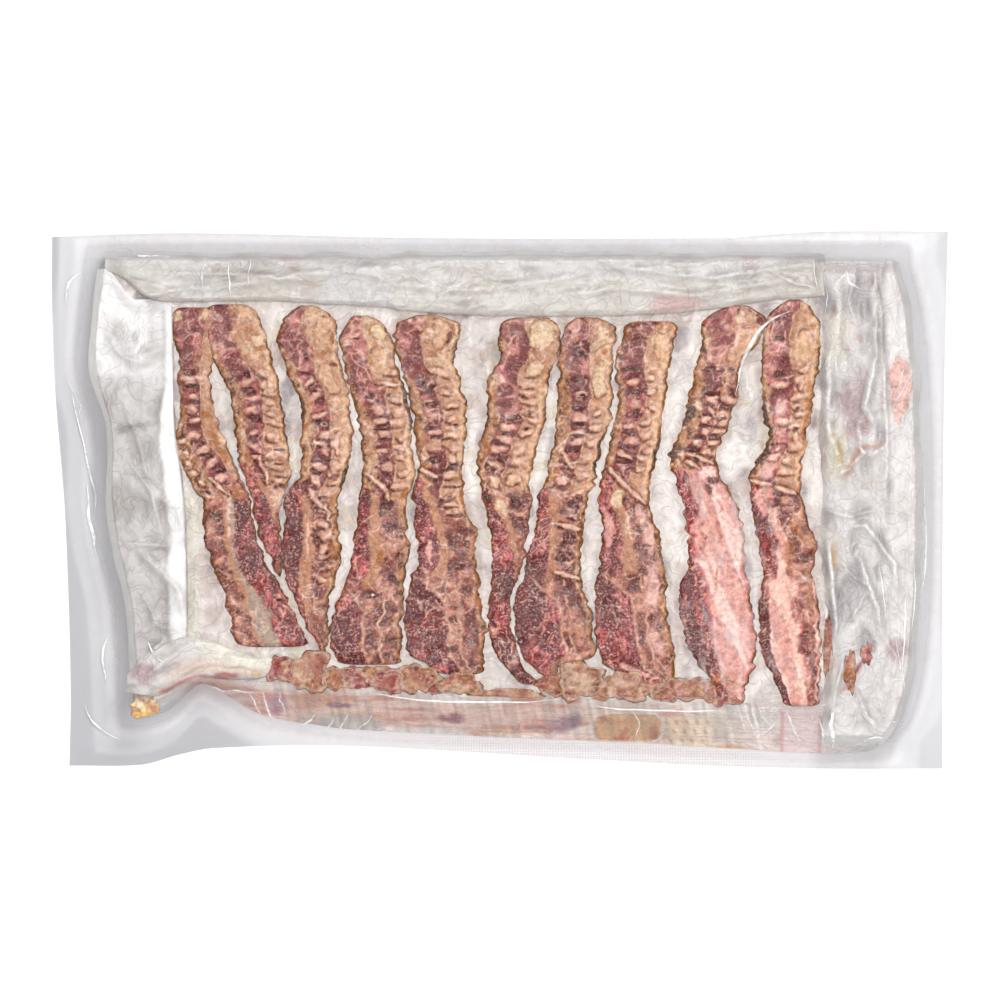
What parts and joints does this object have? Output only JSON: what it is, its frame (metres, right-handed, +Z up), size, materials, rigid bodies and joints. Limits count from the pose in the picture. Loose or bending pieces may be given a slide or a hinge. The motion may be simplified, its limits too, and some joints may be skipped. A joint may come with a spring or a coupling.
{
  "type": "bacon pack",
  "caption": "Clear vacuum pack of cooked bacon: a row of slices on parchment over stacked layers, sealed flat with a film margin all round.",
  "frame": {"origin": "under the middle of the sealed bag, on the surface it lies on", "axes": "+X along the bag's length, +Y from the slices' tails towards their heads, +Z up from the flat underside to the side with the slices"},
  "size_m": [0.4121, 0.2472, 0.0463],
  "materials": {
    "clear_film": "clear glossy film",
    "greasy_parchment": "crumpled greasy parchment, off-white",
    "cooked_bacon": "moist cooked bacon, pink lean and tan fat",
    "cooked_bacon_ends": "tan cooked fat with orange-brown edges"
  },
  "bodies": {
    "root": {"lower_piece_01": "cooked_bacon_ends", "lower_piece_02": "cooked_bacon_ends", "lower_piece_03": "cooked_bacon_ends", "lower_piece_04": "cooked_bacon_ends", "lower_piece_05": "cooked_bacon_ends", "lower_piece_06": "cooked_bacon_ends", "lower_piece_07": "cooked_bacon_ends", "lower_piece_08": "cooked_bacon_ends", "lower_piece_09": "cooked_bacon_ends", "lower_piece_10": "cooked_bacon_ends", "lower_piece_11": "cooked_bacon_ends", "lower_piece_12": "cooked_bacon_ends", "lower_piece_13": "cooked_bacon_ends", "lower_piece_14": "cooked_bacon_ends", "parchment_flap_back": "greasy_parchment", "parchment_flap_left": "greasy_parchment", "parchment_fold_right": "greasy_parchment", "parchment_roll_front": "greasy_parchment", "parchment_sheet": "greasy_parchment", "slice_01": "cooked_bacon", "slice_02": "cooked_bacon", "slice_03": "cooked_bacon", "slice_04": "cooked_bacon", "slice_05": "cooked_bacon", "slice_06": "cooked_bacon", "slice_07": "cooked_bacon", "slice_08": "cooked_bacon", "slice_09": "cooked_bacon", "slice_10": "cooked_bacon", "vacuum_bag": "clear_film"}
  },
  "joints": []
}
